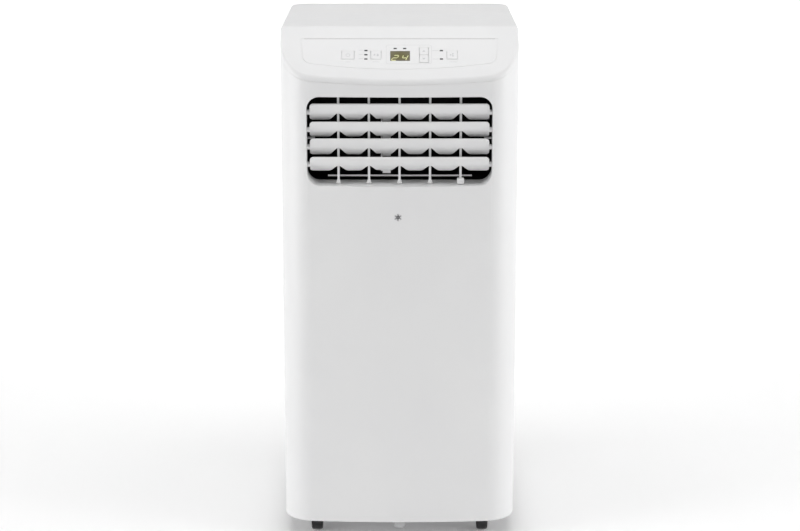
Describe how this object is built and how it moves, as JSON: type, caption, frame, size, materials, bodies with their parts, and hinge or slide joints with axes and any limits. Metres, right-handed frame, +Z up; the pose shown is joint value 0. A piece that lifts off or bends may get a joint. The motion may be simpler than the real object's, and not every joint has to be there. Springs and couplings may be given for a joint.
{
  "type": "portable air conditioner",
  "caption": "Upright casing on casters with a slanted control face, tilting front louvers over upright vanes, a rear filter cover and a round exhaust collar.",
  "frame": {"origin": "floor level at the centre of the footprint", "axes": "+Z up, -Y towards the front with the louvers, +X to the right seen from the front"},
  "size_m": [0.315, 0.365, 0.695],
  "materials": {
    "white_plastic": "fine-textured moulded plastic",
    "overlay_plastic": "smooth satin sheet",
    "key_plastic": "satin",
    "display_lens": "smoked olive lens",
    "indicator": "dark lens",
    "grey_plastic": "moulded",
    "cap_plastic": "moulded",
    "black_plastic": "moulded",
    "filter_mesh": "fine mesh in a frame",
    "circuit_board": "solder mask",
    "coil_metal": "finned",
    "motor_metal": "zinc plated",
    "compressor_paint": "black enamel",
    "copper": "drawn tube",
    "screw_steel": "plated",
    "rubber": "moulded",
    "caster_plastic": "moulded nylon"
  },
  "bodies": {
    "root": {"front_panel": "white_plastic", "rear_panel": "white_plastic", "top_cover": "white_plastic", "base_pan": "grey_plastic", "front_fixing_cap": "cap_plastic", "control_overlay": "overlay_plastic", "display_window": "display_lens", "led_indicators": "indicator", "control_board": "circuit_board", "air_duct": "black_plastic", "blower_scroll": "black_plastic", "blower_motor": "motor_metal", "evaporator": "coil_metal", "partition_tray": "grey_plastic", "condenser": "coil_metal", "condenser_scroll": "black_plastic", "condenser_motor": "motor_metal", "exhaust_duct": "black_plastic", "exhaust_collar": "white_plastic", "compressor": "compressor_paint", "compressor_grommets": "rubber", "refrigerant_pipes": "copper", "electrical_box": "motor_metal", "capacitor": "motor_metal", "lower_grille": "white_plastic", "cord_gland": "black_plastic", "handle_cups": "white_plastic", "casing_screws": "screw_steel"},
    "key_power": {"key_power": "key_plastic"},
    "key_mode": {"key_mode": "key_plastic"},
    "key_temp_up": {"key_temp_up": "key_plastic"},
    "key_temp_down": {"key_temp_down": "key_plastic"},
    "key_fan": {"key_fan": "key_plastic"},
    "louver_1": {"louver_1": "white_plastic"},
    "louver_2": {"louver_2": "white_plastic"},
    "louver_3": {"louver_3": "white_plastic"},
    "louver_4": {"louver_4": "white_plastic"},
    "louver_link": {"louver_link": "white_plastic"},
    "vane_5": {"vane_5": "white_plastic"},
    "vane_1": {"vane_1": "white_plastic"},
    "vane_2": {"vane_2": "white_plastic"},
    "vane_3": {"vane_3": "white_plastic"},
    "vane_4": {"vane_4": "white_plastic"},
    "vane_link": {"vane_link": "white_plastic"},
    "blower_wheel": {"blower_wheel": "grey_plastic"},
    "condenser_wheel": {"condenser_wheel": "grey_plastic"},
    "filter_cover": {"filter_cover": "white_plastic", "air_filter": "filter_mesh"},
    "drain_plug": {"drain_plug": "rubber"},
    "caster_front_left": {"fork_front_left": "caster_plastic"},
    "wheel_front_left": {"wheel_front_left": "caster_plastic"},
    "caster_front_right": {"fork_front_right": "caster_plastic"},
    "wheel_front_right": {"wheel_front_right": "caster_plastic"},
    "caster_rear_left": {"fork_rear_left": "caster_plastic"},
    "wheel_rear_left": {"wheel_rear_left": "caster_plastic"},
    "caster_rear_right": {"fork_rear_right": "caster_plastic"},
    "wheel_rear_right": {"wheel_rear_right": "caster_plastic"}
  },
  "joints": [
    {"name": "key_power_press", "type": "slide", "parent": "root", "child": "key_power", "axis": [0, 0.6771, -0.7359], "range_m": [0, 0.0012], "stiffness_N_per_m": 400, "springref_m": -0.001},
    {"name": "key_mode_press", "type": "slide", "parent": "root", "child": "key_mode", "axis": [0, 0.6771, -0.7359], "range_m": [0, 0.0012], "stiffness_N_per_m": 400, "springref_m": -0.001},
    {"name": "key_temp_up_press", "type": "slide", "parent": "root", "child": "key_temp_up", "axis": [0, 0.6771, -0.7359], "range_m": [0, 0.0012], "stiffness_N_per_m": 400, "springref_m": -0.001},
    {"name": "key_temp_down_press", "type": "slide", "parent": "root", "child": "key_temp_down", "axis": [0, 0.6771, -0.7359], "range_m": [0, 0.0012], "stiffness_N_per_m": 400, "springref_m": -0.001},
    {"name": "key_fan_press", "type": "slide", "parent": "root", "child": "key_fan", "axis": [0, 0.6771, -0.7359], "range_m": [0, 0.0012], "stiffness_N_per_m": 400, "springref_m": -0.001},
    {"name": "louver_1_tilt", "type": "hinge", "parent": "root", "child": "louver_1", "pos_m": [0, -0.1675, 0.5887], "axis": [1, 0, 0], "range_deg": [-18, 28]},
    {"name": "louver_2_tilt", "type": "hinge", "parent": "root", "child": "louver_2", "pos_m": [0, -0.1675, 0.5656], "axis": [1, 0, 0], "range_deg": [-18, 28]},
    {"name": "louver_3_tilt", "type": "hinge", "parent": "root", "child": "louver_3", "pos_m": [0, -0.1675, 0.5425], "axis": [1, 0, 0], "range_deg": [-18, 28]},
    {"name": "louver_4_tilt", "type": "hinge", "parent": "root", "child": "louver_4", "pos_m": [0, -0.1675, 0.5194], "axis": [1, 0, 0], "range_deg": [-18, 28]},
    {"name": "louver_link_pivot", "type": "hinge", "parent": "louver_1", "child": "louver_link", "pos_m": [-0.0236, -0.15679, 0.57956], "axis": [1, 0, 0], "range_deg": [-28, 18]},
    {"name": "vane_5_turn", "type": "hinge", "parent": "root", "child": "vane_5", "pos_m": [0.0806, -0.1665, 0.551], "axis": [0, 0, 1], "range_deg": [-25, 25]},
    {"name": "vane_1_turn", "type": "hinge", "parent": "root", "child": "vane_1", "pos_m": [-0.0806, -0.1665, 0.551], "axis": [0, 0, 1], "range_deg": [-25, 25]},
    {"name": "vane_2_turn", "type": "hinge", "parent": "root", "child": "vane_2", "pos_m": [-0.0403, -0.1665, 0.551], "axis": [0, 0, 1], "range_deg": [-25, 25]},
    {"name": "vane_3_turn", "type": "hinge", "parent": "root", "child": "vane_3", "pos_m": [0, -0.1665, 0.551], "axis": [0, 0, 1], "range_deg": [-25, 25]},
    {"name": "vane_4_turn", "type": "hinge", "parent": "root", "child": "vane_4", "pos_m": [0.0403, -0.1665, 0.551], "axis": [0, 0, 1], "range_deg": [-25, 25]},
    {"name": "vane_link_pivot", "type": "hinge", "parent": "vane_5", "child": "vane_link", "pos_m": [0.0806, -0.1545, 0.502], "axis": [0, 0, 1], "range_deg": [-25, 25]},
    {"name": "blower_spin", "type": "hinge", "parent": "root", "child": "blower_wheel", "pos_m": [0, -0.042, 0.395], "axis": [0, 1, 0], "continuous": true},
    {"name": "condenser_fan_spin", "type": "hinge", "parent": "root", "child": "condenser_wheel", "pos_m": [-0.038, 0.038, 0.152], "axis": [0, 1, 0], "continuous": true},
    {"name": "filter_cover_tilt", "type": "hinge", "parent": "root", "child": "filter_cover", "pos_m": [0, 0.1795, 0.4068], "axis": [-1, 0, 0], "range_deg": [0, 45]},
    {"name": "drain_plug_pull", "type": "slide", "parent": "root", "child": "drain_plug", "axis": [0, 1, 0], "range_m": [0, 0.02]},
    {"name": "swivel_front_left", "type": "hinge", "parent": "root", "child": "caster_front_left", "pos_m": [-0.114, -0.128, 0.045], "axis": [0, 0, 1], "continuous": true},
    {"name": "roll_front_left", "type": "hinge", "parent": "caster_front_left", "child": "wheel_front_left", "pos_m": [-0.114, -0.138, 0.016], "axis": [1, 0, 0], "continuous": true},
    {"name": "swivel_front_right", "type": "hinge", "parent": "root", "child": "caster_front_right", "pos_m": [0.114, -0.128, 0.045], "axis": [0, 0, 1], "continuous": true},
    {"name": "roll_front_right", "type": "hinge", "parent": "caster_front_right", "child": "wheel_front_right", "pos_m": [0.114, -0.138, 0.016], "axis": [1, 0, 0], "continuous": true},
    {"name": "swivel_rear_left", "type": "hinge", "parent": "root", "child": "caster_rear_left", "pos_m": [-0.114, 0.138, 0.045], "axis": [0, 0, 1], "continuous": true},
    {"name": "roll_rear_left", "type": "hinge", "parent": "caster_rear_left", "child": "wheel_rear_left", "pos_m": [-0.114, 0.128, 0.016], "axis": [1, 0, 0], "continuous": true},
    {"name": "swivel_rear_right", "type": "hinge", "parent": "root", "child": "caster_rear_right", "pos_m": [0.114, 0.138, 0.045], "axis": [0, 0, 1], "continuous": true},
    {"name": "roll_rear_right", "type": "hinge", "parent": "caster_rear_right", "child": "wheel_rear_right", "pos_m": [0.114, 0.128, 0.016], "axis": [1, 0, 0], "continuous": true}
  ],
  "couplings": [
    {"joint": "louver_2_tilt", "follows": "louver_1_tilt", "ratio": 1},
    {"joint": "louver_3_tilt", "follows": "louver_1_tilt", "ratio": 1},
    {"joint": "louver_4_tilt", "follows": "louver_1_tilt", "ratio": 1},
    {"joint": "louver_link_pivot", "follows": "louver_1_tilt", "ratio": -1},
    {"joint": "vane_1_turn", "follows": "vane_5_turn", "ratio": 1},
    {"joint": "vane_2_turn", "follows": "vane_5_turn", "ratio": 1},
    {"joint": "vane_3_turn", "follows": "vane_5_turn", "ratio": 1},
    {"joint": "vane_4_turn", "follows": "vane_5_turn", "ratio": 1},
    {"joint": "vane_link_pivot", "follows": "vane_5_turn", "ratio": -1}
  ]
}
